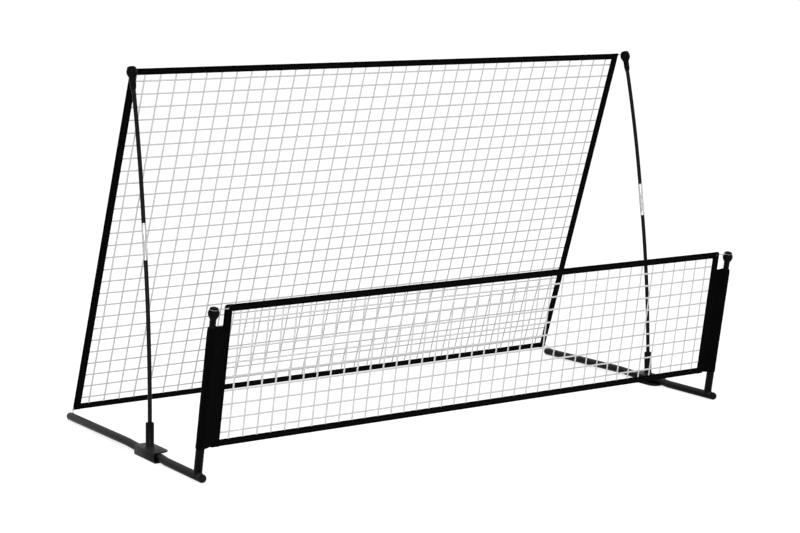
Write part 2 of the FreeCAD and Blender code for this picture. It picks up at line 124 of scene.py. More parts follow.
# Sleeves, from the lower to the upper end along the small net; each fold has a rate upwards and one round
SLEEVE_LOW = -37.0 * MM
SLEEVE_HIGH = 320.5 * MM
SLEEVE_GIRTH = 121.0 * MM
SLEEVE_LAP = 6.0 * MM
SLEEVE_HEM = 13.0 * MM
SLEEVE_HEM_LIFT = 0.45 * MM
SLEEVE_CLOTH_THICKNESS = 0.8 * MM
SLEEVE_EASE = 1.15 * MM
SLEEVE_FLAP_EASE = 0.9 * MM
SLEEVE_MOUTH_DRAW = 1.6 * MM
SLEEVE_MOUTH_REACH = 9.0 * MM
SLEEVE_WRINKLE = 0.12 * MM
SLEEVE_FLAP_WRINKLE = 0.3 * MM
SLEEVE_FOLDS = ((19, 3.0), (47, -2.0))
SLEEVE_SEAM_INSET = 2.5 * MM
SLEEVE_SEAM_RISE = 1.1 * MM
SLEEVE_SEAM_END = 3.0 * MM

# Corner cords; their routes are drawn on the right, from the tape's corner to the knob or tube, in metres
CORD = 3.0 * MM
TOP_TURN = 3.6 * MM
FRONT_TURN = 1.8 * MM
FRONT_TURN_RISE = 0.8 * MM
LOOP_RADIUS = 5.6 * MM
LOOP_THICKNESS = 1.2 * MM
LOOP_RISE = 5.8 * MM
REAR_CORD_SINK = 1.6 * MM
TOP_ROUTE = [
    (0.9145, 0.0659, 1.12435), (0.9195, 0.06463, 1.1276), (0.9244, 0.064, 1.128), (0.9259, 0.0532, 1.1302),
    (0.9272, 0.05, 1.131), (0.9293, 0.0494, 1.1312), (0.9357, 0.0476, 1.1318)]
FRONT_ROUTE_BEHIND = [
    (0.8995, -0.4781, 0.5006), (0.8995, -0.4726, 0.5017), (0.908, -0.4726, 0.5018), (0.915, -0.4765, 0.5012),
    (0.925, -0.4805, 0.5007), (0.9347, -0.48275, 0.50056)]
FRONT_ROUTE_BEFORE = [
    (0.8995, -0.4781, 0.5006), (0.8995, -0.4839, 0.4995), (0.906, -0.4836, 0.4997), (0.92, -0.4826, 0.5002),
    (0.9347, -0.48275, 0.50056)]
REAR_ROUTE = [
    (0.935, 0.4889, 0.0429), (0.94, 0.4889, 0.0428), (0.947, 0.4845, 0.0385), (0.9525, 0.4725, 0.032),
    (0.9557, 0.4656, 0.0245)]

# Camera, solved from the photograph, and how bright the ground and the surroundings are
CAMERA_TARGET = Vector((-1.1, 28.1, 473.6)) * MM
CAMERA_TURN = math.radians(33.326)
CAMERA_RISE = math.radians(8.825)
CAMERA_DISTANCE = 6.19121
SENSOR_WIDTH = 36.0
FOCAL_PIXELS = 1922.83
PICTURE_PIXELS = 800
GROUND_GLOW = 0.74
SKY_LIGHT = 0.72

# Lamps: name, place and aim in metres, size in metres, power in watts
LAMPS = [
    ("key", (-2.6, -3.6, 4.2), (0, 0, 0.4), 2.4, 70),
    ("fill", (3.4, -3.0, 2.6), (0, 0, 0.4), 3.0, 25),
    ("rim", (-0.5, 4.2, 3.8), (0, 0, 0.4), 3.6, 12),
    ("front", (-3.1, -4.9, 0.55), (0, 0, 0.6), 0.7, 56)]


# Materials

def linear(code):
    """sRGB hex to a linear colour with alpha."""
    values = [int(code[i:i + 2], 16) / 255 for i in (1, 3, 5)]
    return [v / 12.92 if v <= 0.04045 else ((v + 0.055) / 1.055) ** 2.4 for v in values] + [1.0]


def add_node(material, kind, settings=None, links=None):
    """A node with its settings, and its inputs linked from (node, output) pairs."""
    node = material.node_tree.nodes.new(kind)
    for name, value in (settings or {}).items():
        if name in node.inputs:
            node.inputs[name].default_value = value
        else:
            setattr(node, name, value)
    for name, (source, output) in (links or {}).items():
        material.node_tree.links.new(source.outputs[output], node.inputs[name])
    return node


def new_material(name):
    """An empty node material."""
    material = bpy.data.materials.new(name)
    material.use_nodes = True
    material.node_tree.nodes.clear()
    return material


def blended(material, low, high, mask, low_at=0.35, high_at=0.65):
    """Two colours mixed by a mask between two of its values."""
    ramp = add_node(material, "ShaderNodeValToRGB", links={"Fac": mask})
    ramp.color_ramp.elements[0].position = low_at
    ramp.color_ramp.elements[0].color = linear(low)
    ramp.color_ramp.elements[1].position = high_at
    ramp.color_ramp.elements[1].color = linear(high)
    return ramp, "Color"


def spread(material, low, high, mask):
    """A mask's 0 to 1 turned into a range of values."""
    node = add_node(material, "ShaderNodeMapRange", {"To Min": low, "To Max": high}, {"Value": mask})
    return node, "Result"


def maths(material, operation, first, second):
    """Two values put together by an operation."""
    node = add_node(material, "ShaderNodeMath", {"operation": operation}, {0: first, 1: second})
    return node, "Value"


def noise(material, place, scale, detail, roughness=0.5):
    """Noise on the given coordinates, as a mask."""
    settings = {"Scale": scale, "Detail": detail, "Roughness": roughness}
    return add_node(material, "ShaderNodeTexNoise", settings, {"Vector": place}), "Fac"


def drawn(material, place, across, along, detail):
    """Noise stretched along the height, like the marks that drawing leaves on rod and tube."""
    stretched = add_node(material, "ShaderNodeMapping", {"Scale": (across, across, along)}, {"Vector": place})
    return noise(material, (stretched, "Vector"), 1.0, detail)


def on_object(material):
    """The piece's own coordinates, in metres."""
    return add_node(material, "ShaderNodeTexCoord"), "Object"


def finished(material, settings, links, height, strength, distance):
    """Adds a bump and the shader, and links it to the output."""
    bump = add_node(material, "ShaderNodeBump", {"Strength": strength, "Distance": distance},
                    {"Height": height})
    shader = add_node(material, "ShaderNodeBsdfPrincipled", settings, {**links, "Normal": (bump, "Normal")})
    add_node(material, "ShaderNodeOutputMaterial", links={"Surface": (shader, "BSDF")})
    return material


def powder_coat():
    """Black polyester powder coat on steel: satin, a fine orange peel, and a painted highlight that greys its
    upward-facing side over painted shade below, varied at random by scuffs.
    """
    m = new_material("black_powder_coat")
    place = on_object(m)
    peel = noise(m, place, 900.0, 2.0)
    scuffs = noise(m, place, 60.0, 6.0, 0.7)
    shape = add_node(m, "ShaderNodeNewGeometry")
    slope = add_node(m, "ShaderNodeSeparateXYZ", links={"Vector": (shape, "Normal")})
    # Painted light and shade: the colour is lighter where the surface faces up and darker underneath; the
    # scuffs vary it at random.
    facing_up = add_node(m, "ShaderNodeMapRange",
                       {"From Min": -0.1, "From Max": 0.9, "interpolation_type": "SMOOTHSTEP"},
                       {"Value": (slope, "Z")})
    painted_top_light = maths(m, "MULTIPLY", (facing_up, "Result"), spread(m, 0.75, 1.15, scuffs))
    links = {"Base Color": blended(m, "#050505", "#2b2b2c", painted_top_light, 0.0, 1.0),
             "Roughness": spread(m, 0.3, 0.46, scuffs)}
    return finished(m, {"IOR": 1.5, "Specular IOR Level": 0.05}, links, peel, 0.25, 0.2 * MM)


def pole_lacquer():
    """Black lacquered rod: smoother than the tubes, with faint marks drawn along its length."""
    m = new_material("black_pole_lacquer")
    marks = drawn(m, on_object(m), 1400.0, 25.0, 3.0)
    links = {"Base Color": blended(m, "#070708", "#111113", marks), "Roughness": spread(m, 0.26, 0.42, marks)}
    return finished(m, {"IOR": 1.5, "Specular IOR Level": 0.08}, links, marks, 0.12, 0.1 * MM)


def plated_steel():
    """Bright zinc-plated tube: metal, with fine lines along it and slightly cloudy plating."""
    m = new_material("bright_plated_steel")
    place = on_object(m)
    lines = drawn(m, place, 2500.0, 40.0, 2.0)
    cloud = noise(m, place, 120.0, 3.0)
    links = {"Base Color": blended(m, "#adadaf", "#c3c4c5", cloud), "Roughness": spread(m, 0.2, 0.36, lines)}
    return finished(m, {"Metallic": 1.0}, links, lines, 0.1, 0.1 * MM)


def moulded_plastic(name, dark, light):
    """Black polypropylene moulding: matt, with a fine spark-eroded grain."""
    m = new_material(name)
    place = on_object(m)
    grain = noise(m, place, 1600.0, 2.0)
    flow = noise(m, place, 45.0, 3.0)
    links = {"Base Color": blended(m, dark, light, flow), "Roughness": spread(m, 0.26, 0.4, flow)}
    return finished(m, {"IOR": 1.49, "Specular IOR Level": 0.04}, links, grain, 0.3, 0.1 * MM)


def black_nickel():
    """Brass eyelet plated in black nickel: a dark metal with a soft shine."""
    m = new_material("black_nickel_plating")
    wear = noise(m, on_object(m), 400.0, 3.0)
    links = {"Base Color": blended(m, "#1c1c1e", "#2f2f31", wear), "Roughness": spread(m, 0.28, 0.45, wear)}
    return finished(m, {"Metallic": 1.0}, links, wear, 0.1, 0.1 * MM)


def woven(name, dark, light, along, across, rough, strength, shine):
    """Woven polyester: warp and weft ribs on the piece's own UV map, which is in metres."""
    m = new_material(name)
    place = add_node(m, "ShaderNodeTexCoord")
    split = add_node(m, "ShaderNodeSeparateXYZ", links={"Vector": (place, "UV")})
    ribs = []
    for axis, pitch in (("X", along), ("Y", across)):
        turns = add_node(m, "ShaderNodeMath", {"operation": "MULTIPLY"}, {0: (split, axis)})
        turns.inputs[1].default_value = 2 * math.pi / pitch
        ribs.append((add_node(m, "ShaderNodeMath", {"operation": "SINE"}, {0: (turns, "Value")}), "Value"))
    weave = maths(m, "MULTIPLY", *ribs)
    raised = add_node(m, "ShaderNodeMapRange", {"From Min": -1.0}, {"Value": weave}), "Result"
    fade = noise(m, (place, "Object"), 25.0, 4.0)
    links = {"Base Color": blended(m, dark, light, maths(m, "MULTIPLY", raised, fade), 0.05, 0.6)}
    settings = {"Roughness": rough, "IOR": 1.45, "Specular IOR Level": shine}
    return finished(m, settings, links, raised, strength, 0.4 * MM)


def twisted(name, dark, light, pitch, rough, shine=0.3):
    """Twisted or braided yarn: slanting strands on Object coordinates, a little coarse so that they show."""
    m = new_material(name)
    place = on_object(m)
    coarseness = 3.1
    waves = {"Scale": 1 / pitch / coarseness, "Distortion": 0.6, "Detail": 1.0, "bands_direction": "DIAGONAL"}
    twist = add_node(m, "ShaderNodeTexWave", waves, {"Vector": place}), "Fac"
    shade = noise(m, place, 18.0, 3.0)
    links = {"Base Color": blended(m, dark, light, maths(m, "ADD", twist, shade), 0.2, 1.0)}
    settings = {"Roughness": rough, "IOR": 1.45, "Specular IOR Level": shine}
    return finished(m, settings, links, twist, 0.5, 0.4 * MM)


POWDER_COAT = powder_coat()
POLE_LACQUER = pole_lacquer()
PLATED_STEEL = plated_steel()
MOULDED_PLASTIC = moulded_plastic("black_moulded_plastic", "#030303", "#090909")
DUSTY_PLASTIC = moulded_plastic("dusty_black_plastic", "#0e0e0e", "#1c1c1d")
BLACK_NICKEL = black_nickel()
TAPE_WEBBING = woven("black_polyester_webbing", "#010101", "#050505", 2.4 * MM, 1.6 * MM, 0.75, 0.5, 0.03)
SLEEVE_CLOTH = woven("black_polyester_oxford_cloth", "#020202", "#080808", 1.4 * MM, 1.4 * MM, 0.8, 0.4, 0.03)
NET_TWINE = twisted("grey_polyester_net_twine", "#d0d0d0", "#e4e4e4", 2.2 * MM, 0.65)
ELASTIC_CORD = twisted("pale_braided_elastic_cord", "#9c9c9c", "#bebebe", 1.4 * MM, 0.6)
BLACK_ELASTIC = twisted("black_braided_elastic_cord", "#060606", "#141414", 1.4 * MM, 0.6, 0.05)
SEAM_THREAD = twisted("grey_sewing_thread", "#141414", "#262626", 1.0 * MM, 0.6, 0.05)


# Modelling

def deselect_all():
    bpy.ops.object.select_all(action="DESELECT")


def select_only(piece):
    """Makes one piece the only selected one and the active one."""
    deselect_all()
    bpy.context.view_layer.objects.active = piece
    piece.select_set(True)


def leave_edit():
    """Turns all faces outwards and leaves edit mode."""
    bpy.ops.mesh.select_all(action="SELECT")
    bpy.ops.mesh.normals_make_consistent(inside=False)
    bpy.ops.object.mode_set(mode="OBJECT")


def linked(name, data):
    """A new object in the scene."""
    made = bpy.data.objects.new(name, data)
    bpy.context.scene.collection.objects.link(made)
    return made


def smooth(piece, angle=35):
    """Shades a piece smooth, apart from edges sharper than the angle."""
    select_only(piece)
    bpy.ops.object.shade_smooth_by_angle(angle=math.radians(angle))


def apply_modifiers(piece):
    select_only(piece)
    for modifier in list(piece.modifiers):
        bpy.ops.object.modifier_apply(modifier=modifier.name)


def bevelled(piece, width, segments, angle):
    """Bevels every edge that is sharper than the angle."""
    bevel = piece.modifiers.new("edge", "BEVEL")
    bevel.width = width
    bevel.segments = segments
    bevel.limit_method = "ANGLE"
    bevel.angle_limit = math.radians(angle)
    apply_modifiers(piece)
    return piece


def repeated(piece, step, count):
    """A row of copies, each one step further."""
    row = piece.modifiers.new("row", "ARRAY")
    row.use_relative_offset = False
    row.use_constant_offset = True
    row.constant_offset_displace = step
    row.count = count
    apply_modifiers(piece)
    return piece


def in_mm(rings):
    """A turned piece's rings of (radius, height), given in millimetres."""
    return [(radius * MM, height * MM) for radius, height in rings]


def axes_turn(across, out, along):
    """The turn that lays a piece's X, Y and Z along three directions."""
    return Matrix((across, out, along)).transposed().to_4x4()


def stood_on(piece, foot, axis):
    """Turns a piece drawn along Z onto an axis, and moves it to its foot."""
    piece.data.transform(Matrix.Translation(foot) @ Z_AXIS.rotation_difference(axis).to_matrix().to_4x4())
    return piece


def turned(name, rings, sides=48):
    """A turned piece drawn along Z: a disc, extruded and scaled from ring to ring of (radius, height)."""
    deselect_all()
    radius, height = rings[0]
    bpy.ops.mesh.primitive_circle_add(vertices=sides, radius=radius, fill_type="NGON",
                                      location=(0, 0, height))
    piece = bpy.context.object
    piece.name = name
    piece.data.transform(piece.matrix_world)
    piece.matrix_world = Matrix.Identity(4)
    bpy.ops.object.mode_set(mode="EDIT")
    for next_radius, next_height in rings[1:]:
        bpy.ops.mesh.extrude_region_move(TRANSFORM_OT_translate={"value": (0, 0, next_height - height)})
        scale = next_radius / radius
        bpy.ops.transform.resize(value=(scale, scale, 1), center_override=(0, 0, next_height))
        radius, height = next_radius, next_height
    leave_edit()
    return piece


def bowed(name, start, steps, radius, sides=32):
    """A round bar along Z that bows to +Y: straight runs by extruding, bows by spinning the end ring."""
    deselect_all()
    bpy.ops.mesh.primitive_circle_add(vertices=sides, radius=radius, fill_type="NGON", location=(0, 0, 0))
    piece = bpy.context.object
    piece.name = name
    point, lean = Vector(start[:3]), start[3]
    piece.data.transform(Matrix.Translation(point) @ Matrix.Rotation(-lean, 4, "X"))
    bpy.ops.object.mode_set(mode="EDIT")
    for kind, length in steps:
        if kind == "straight":
            run = Vector((0, math.sin(lean), math.cos(lean))) * length
            bpy.ops.mesh.extrude_region_move(TRANSFORM_OT_translate={"value": run})
            point = point + run
        else:
            centre = point + Vector((0, math.cos(lean), -math.sin(lean))) * BOW_RADIUS
            turn = length / BOW_RADIUS
            bpy.ops.mesh.spin(steps=BOW_STEPS, angle=turn, center=centre, axis=(1, 0, 0))
            lean += turn
            point = centre + Vector((0, -math.cos(lean), math.sin(lean))) * BOW_RADIUS
    bpy.ops.mesh.select_all(action="SELECT")
    bpy.ops.mesh.remove_doubles(threshold=1e-6)
    leave_edit()
    return piece, (point.x, point.y, point.z, lean)


def in_socket(piece):
    """From the pole's own plane to its place on the right-hand bracket."""
    piece.data.transform(Matrix.Translation(SOCKET_FOOT) @ Matrix.Rotation(-SOCKET_LEAN, 4, "Y"))
    return piece


def joined(name, pieces):
    """Makes one piece of several."""
    deselect_all()
    for piece in pieces:
        piece.select_set(True)
    bpy.context.view_layer.objects.active = pieces[0]
    bpy.ops.object.join()
    pieces[0].name = name
    return pieces[0]


def mirrored(piece, name):
    """A left-hand copy with its own mesh, its faces turned back outwards."""
    copy = piece.copy()
    copy.data = piece.data.copy()
    copy.name = name
    bpy.context.scene.collection.objects.link(copy)
    copy.data.transform(Matrix.Scale(-1, 4, X_AXIS))
    copy.data.flip_normals()
    return copy


def dress(piece, material, body, slot, *nodes):
    """Gives a finished piece its material and body, and hides the CAD nodes that it stands for; the slot is
    not used.
    """
    piece.data.materials.clear()
    piece.data.materials.append(material)
    if body:
        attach(piece, body)
    if nodes:
        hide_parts(*nodes)
    return piece


def both_sides(piece, name, material, body, slot, node=None):
    """Dresses the right-hand piece and a mirrored left-hand copy; body and node names take the side."""
    piece.name = name + "_right_piece"
    pair = {"right": piece, "left": mirrored(piece, name + "_left_piece")}
    for side, made in pair.items():
        own = [node.format(side)] if node else []
        dress(made, material, body and body.format(side), slot, *own)
    return pair


# Side frames

def base_tube():
    """Round tube with a slight joggle where the bracket clamps it."""
    deselect_all()
    y, z = TUBE_LINE[0]
    bpy.ops.mesh.primitive_circle_add(vertices=40, radius=TUBE_RADIUS, fill_type="NGON",
                                      location=(SIDE_X, y * MM, z * MM), rotation=(math.pi / 2, 0, 0))
    piece = bpy.context.object
    bpy.ops.object.transform_apply(location=True, rotation=True, scale=True)
    bpy.ops.object.mode_set(mode="EDIT")
    for next_y, next_z in TUBE_LINE[1:]:
        bpy.ops.mesh.extrude_region_move(
            TRANSFORM_OT_translate={"value": (0, (next_y - y) * MM, (next_z - z) * MM)})
        y, z = next_y, next_z
    leave_edit()
    bevelled(piece, JOGGLE_BEND, 3, 3)
    smooth(piece)
    return piece


def block(low, high):
    """A cube primitive between two corners, with its place in its mesh."""
    deselect_all()
    bpy.ops.mesh.primitive_cube_add(size=1, location=(low + high) / 2)
    piece = bpy.context.object
    piece.scale = high - low
    bpy.ops.object.transform_apply(location=True, rotation=True, scale=True)
    return piece


def pick_edges(piece, keep):
    """Goes into edit mode and selects the edges whose middle and direction the test accepts."""
    select_only(piece)
    bpy.ops.object.mode_set(mode="EDIT")
    bpy.ops.mesh.select_all(action="DESELECT")
    mesh = bmesh.from_edit_mesh(piece.data)
    for edge in mesh.edges:
        ends = [v.co for v in edge.verts]
        if keep((ends[0] + ends[1]) / 2, (ends[1] - ends[0]).normalized()):
            edge.select_set(True)
    bmesh.update_edit_mesh(piece.data)


def bevel_edges(piece, width, segments, keep):
    """Bevels the edges that the test accepts."""
    pick_edges(piece, keep)
    bpy.ops.mesh.bevel(offset=width, segments=segments, affect="EDGES")
    bpy.ops.object.mode_set(mode="OBJECT")


def bracket():
    """One plate folded to a channel, open to the inner side, its inner corners rounded."""
    channel = block(BRACKET_LOW, BRACKET_HIGH)
    bevel_edges(channel, FOLD, 6, lambda middle, way: abs(way.y) > 0.9 and middle.x > SIDE_X)
    bevel_edges(channel, BRACKET_CORNER, 14, lambda middle, way: abs(way.z) > 0.9 and middle.x < SIDE_X)
    past = 20 * MM
    hollow = block(BRACKET_LOW + Vector((-past, -past, PLATE)), BRACKET_HIGH + Vector((-PLATE, past, -PLATE)))
    bevel_edges(hollow, FOLD - PLATE, 4, lambda middle, way: abs(way.y) > 0.9 and middle.x > SIDE_X)
    cut = channel.modifiers.new("hollow", "BOOLEAN")
    cut.operation = "DIFFERENCE"
    cut.object = hollow
    cut.solver = "EXACT"
    apply_modifiers(channel)
    bpy.data.objects.remove(hollow)
    bevelled(channel, PLATE_EDGE, 2, 50)
    smooth(channel, 30)
    return channel


def pole_socket():
    """Socket tube with its mouth, and the weld bead round its foot."""
    weld = [(SOCKET_RADIUS + width * MM, height * MM)
            for width, height in ((2.6, -0.6), (2.4, 0.8), (1.2, 2.2), (0.2, 3.2), (0.0, 3.6))]
    piece = turned("pole_socket", weld + [
        (SOCKET_RADIUS, SOCKET_HEIGHT - 0.3 * MM), (SOCKET_RADIUS - 0.3 * MM, SOCKET_HEIGHT),
        (SOCKET_BORE, SOCKET_HEIGHT), (SOCKET_BORE, SOCKET_HEIGHT - 12 * MM)], 56)
    smooth(piece, 40)
    return in_socket(piece)


def socket_bush():
    """Bush with a shank in the socket, a rounded rim on its mouth and a bore that the pole slides in."""
    bore = POLE_RADIUS + 0.1 * MM
    piece = turned("socket_bush", [(radius, SOCKET_HEIGHT + height * MM) for radius, height in (
        (PLUG_RADIUS, -10), (PLUG_RADIUS, 0), (SOCKET_RADIUS, 0), (SOCKET_RADIUS, 0.9),
        (SOCKET_RADIUS - 0.5 * MM, 1.9), (SOCKET_RADIUS - 1.3 * MM, BUSH_RIM / MM),
        (bore + 0.6 * MM, BUSH_RIM / MM), (bore, BUSH_RIM / MM - 0.8), (bore, -4))], 56)
    smooth(piece, 40)
    return in_socket(piece)


def end_cap():
    """A domed cap with a rim on the tube's end and a shank in the tube."""
    return turned("end_cap", [
        (PLUG_RADIUS, -12 * MM), (PLUG_RADIUS, 0), (TUBE_RADIUS, 0), (TUBE_RADIUS, 1.7 * MM),
        (TUBE_RADIUS - 0.3 * MM, 2.0 * MM), (TUBE_RADIUS - 0.5 * MM, 3.2 * MM), (11.2 * MM, 6.4 * MM),
        (9.4 * MM, 9.2 * MM), (6.9 * MM, 11.3 * MM), (4.0 * MM, 12.5 * MM), (1.2 * MM, 12.95 * MM)], 48)


def end_caps():
    """The front and the rear cap of one base tube."""
    front_y, front_z = TUBE_LINE[0]
    rear_y, rear_z = TUBE_LINE[-1]
    crest_y, crest_z = TUBE_LINE[-2]
    fall = Vector((0, rear_y - crest_y, rear_z - crest_z)).normalized()
    front = stood_on(end_cap(), Vector((SIDE_X, front_y * MM, front_z * MM)), Vector((0, -1, 0)))
    rear = stood_on(end_cap(), Vector((SIDE_X, rear_y * MM, rear_z * MM)), fall)
    piece = joined("end_caps", [front, rear])
    smooth(piece, 40)
    return piece


def front_post():
    """Post with its foot in the base tube."""
    foot = 6 * MM
    piece = turned("front_post", [(POST_RADIUS, foot), (POST_RADIUS, POST_LENGTH)], 48)
    stood_on(piece, POST_FOOT, POST_AXIS)
    smooth(piece, 40)
    return piece


def weld_bead():
    """Rippled bead where post and tube meet: small lumps along the line where the two cylinders cross."""
    lumps = []
    for index in range(WELD_LUMPS):
        turn = 2 * math.pi * index / WELD_LUMPS
        across = Vector((math.cos(turn), math.sin(turn), 0)) * POST_RADIUS
        spun = Z_AXIS.rotation_difference(POST_AXIS).to_matrix() @ across
        rise = math.sqrt(max(TUBE_RADIUS ** 2 - spun.x ** 2, 0.0))
        along = (rise - spun.z) / POST_AXIS.z
        centre = POST_FOOT + spun + POST_AXIS * along
        deselect_all()
        bpy.ops.mesh.primitive_uv_sphere_add(segments=10, ring_count=6, radius=WELD_RADIUS, location=centre)
        lump = bpy.context.object
        bpy.ops.object.transform_apply(location=True, rotation=True, scale=True)
        lumps.append(lump)
    piece = joined("weld_bead", lumps)
    smooth(piece, 60)
    return piece


# Poles and knobs

def knob_rings(neck_end, crown):
    """Neck, bulge, shoulder and cord groove of a knob, upwards, below its crown; heights from its centre."""
    groove_low = (KNOB_GROOVE_HEIGHT - KNOB_GROOVE_HALF_HEIGHT) / MM
    groove_high = (KNOB_GROOVE_HEIGHT + KNOB_GROOVE_HALF_HEIGHT) / MM
    groove = KNOB_GROOVE_RADIUS / MM
    return in_mm(neck_end + [
        (9.4, -20.8), (9.8, -18.6), (11.0, -16.0), (12.8, -13.0), (14.5, -9.8), (15.7, -6.9), (16.3, -4.2),
        (16.5, -1.6), (16.4, 0.9), (16.0, 3.2), (15.5, 5.2), (14.9, 6.7), (14.1, groove_low),
        (groove, groove_low), (groove, groove_high)] + crown)


def top_knob():
    """Knob on the upper rod, with a long tapered neck."""
    foot = -KNOB_STAND_OFF / MM
    piece = turned("top_knob", knob_rings([
        (6.9, foot), (7.2, -51.7), (7.6, -50.6), (8.8, -44.5), (9.3, -40.5), (9.4, -37.0)], [
        (12.9, 10.8), (13.5, 11.1), (13.5, 11.9), (12.6, 13.3), (11.0, 14.6), (8.8, 15.7), (6.0, 16.4),
        (2.0, 16.5)]), 56)
    smooth(piece, 32)
    return piece


def front_knob():
    """Knob in the post's end, with its plug and collar."""
    foot = -KNOB_STAND_OFF / MM
    plug, collar = PLUG_RADIUS / MM, POST_RADIUS / MM
    piece = turned("front_knob", knob_rings([
        (plug, -70.0), (plug, foot), (collar, foot), (collar, -50.4), (12.1, -49.7), (9.9, -47.6),
        (9.4, -46.4)], [
        (12.3, 10.8), (13.0, 11.2), (13.1, 11.9), (12.5, 13.1), (11.1, 14.5), (9.2, 15.6), (6.8, 16.3),
        (2.0, 16.5)]), 56)
    smooth(piece, 32)
    return stood_on(piece, POST_KNOB, POST_AXIS)


def groove_turn(name, centre, axis, thickness, rise=0.0):
    """The turn of cord that lies in a knob's groove."""
    deselect_all()
    half = thickness / 2
    bpy.ops.mesh.primitive_torus_add(major_radius=KNOB_GROOVE_RADIUS + half, minor_radius=half,
                                     major_segments=48, minor_segments=12)
    piece = bpy.context.object
    piece.name = name
    stood_on(piece, centre + axis * (KNOB_GROOVE_HEIGHT + rise), axis)
    smooth(piece, 60)
    return piece


def pole_pieces():
    """Lower rod, ferrule, upper rod and knob; returns them with the knob's centre and axis."""
    seat = 0.3 * MM
    lower, middle = bowed("pole_lower", (0, 0, seat, 0), [
        ("straight", SOCKET_HEIGHT + BUSH_RIM - seat), ("bow", LOWER_BOW_LENGTH), ("straight", FERRULE / 2)],
        POLE_RADIUS)
    x, y, z, lean = middle
    along = Vector((0, math.sin(lean), math.cos(lean)))
    ferrule_foot = Vector((x, y, z)) - along * FERRULE / 2
    lip = 0.35 * MM
    dimple = 1.2 * MM
    bore = POLE_RADIUS + FERRULE_GAP
    ferrule = turned("ferrule", [
        (bore, 4 * MM), (bore, 0), (FERRULE_RADIUS - lip, 0), (FERRULE_RADIUS, lip),
        (FERRULE_RADIUS, FERRULE / 2 - dimple), (FERRULE_RADIUS - lip, FERRULE / 2),
        (FERRULE_RADIUS, FERRULE / 2 + dimple), (FERRULE_RADIUS, FERRULE - lip),
        (FERRULE_RADIUS - lip, FERRULE), (bore, FERRULE), (bore, FERRULE - 4 * MM)], 48)
    stood_on(ferrule, ferrule_foot, along)
    upper, end = bowed("pole_upper", middle, [
        ("straight", FERRULE / 2), ("bow", UPPER_BOW_LENGTH), ("straight", KNOB_SEAT)], POLE_RADIUS)
    x, y, z, lean = end
    axis = Vector((0, math.sin(lean), math.cos(lean)))
    centre = Vector((x, y, z)) + axis * (KNOB_STAND_OFF - KNOB_SEAT)
    knob = stood_on(top_knob(), centre, axis)
    for piece in (lower, ferrule, upper, knob):
        smooth(piece, 32)
        in_socket(piece)
    turn = Matrix.Rotation(-SOCKET_LEAN, 3, "Y")
    return lower, ferrule, upper, knob, turn @ centre + SOCKET_FOOT, turn @ axis


# Nets

class NetPlane:
    """A net's plane, with its rows and columns and the tape around them: millimetres in, metres kept."""

    def __init__(self, bottom, top, halves, columns, rows, margins):
        self.bottom = Vector((0, *bottom)) * MM
        rise = Vector((0, *top)) * MM - self.bottom
        self.height = rise.length
        self.up = rise.normalized()
        self.out = X_AXIS.cross(self.up)
        self.halves = [half * MM for half in halves]
        self.columns = columns
        self.rows = rows
        self.top_margin, self.bottom_margin, self.side_margin = [margin * MM for margin in margins]
        self.low = -self.bottom_margin
        self.high = self.height + self.top_margin

    def half(self, up):
        """Half the distance between the outermost uprights at a height along the net."""
        bottom, top = self.halves
        return bottom + (top - bottom) * up / self.height

    def point(self, across, up, out=0.0):
        """A point of the net's plane, or in front of it."""
        return X_AXIS * across + self.bottom + self.up * up + self.out * out


LARGE = NetPlane(bottom=(474.5, 71.6), top=(77.6, 1094.2), halves=(893.3, 870.8), columns=34, rows=26,
                 margins=(19.9, 21.5, 26.5))
SMALL = NetPlane(bottom=(-408.5, 134.5), top=(-470.8, 462.3), halves=(864.65, 857.54), columns=38, rows=8,
                 margins=(28.0, 21.0, 28.0))


def first_strand(cuts):
    """The strand that a net's others copy: a unit bar with rings along it, so that it can waver."""
    deselect_all()
    bpy.ops.mesh.primitive_cylinder_add(vertices=8, radius=1, depth=1)
    piece = bpy.context.object
    pick_edges(piece, lambda middle, way: abs(way.z) > 0.5)
    bpy.ops.mesh.subdivide(number_cuts=cuts)
    bpy.ops.object.mode_set(mode="OBJECT")
    bpy.ops.object.shade_smooth_by_angle(angle=math.radians(60))
    mesh = piece.data.copy()
    bpy.data.objects.remove(piece)
    return mesh


def first_knot():
    """The crossing that the others copy: a small flattened lump where the strands are looped together."""
    deselect_all()
    bpy.ops.mesh.primitive_ico_sphere_add(subdivisions=1, radius=1)
    piece = bpy.context.object
    bpy.ops.object.shade_smooth()
    mesh = piece.data.copy()
    bpy.data.objects.remove(piece)
    return mesh


def placed_copy(name, mesh, place):
    """A new piece from a mesh, laid in its place."""
    piece = linked(name, mesh.copy())
    piece.data.transform(place)
    return piece


def strand(name, first, start, end, out, number):
    """One braided strand between two points: flattened, and wavering by a fraction of its width."""
    along = (end - start).normalized()
    cross = along.cross(out).normalized()
    turn = axes_turn(cross, out, along)
    length = (end - start).length
    size = Matrix.Diagonal((STRAND / 2, STRAND / 2 * STRAND_FLATNESS, length, 1))
    piece = placed_copy(name, first, Matrix.Translation((start + end) / 2) @ turn @ size)
    for vertex in piece.data.vertices:
        way = (vertex.co - start).dot(along)
        fixed = math.sin(math.pi * min(max(way / length, 0.0), 1.0))
        sway = sum(share * math.sin(way * rate + number * shift) for rate, shift, share in STRAND_WAVES)
        vertex.co += cross * (sway * fixed * STRAND_WAVER)
    return piece


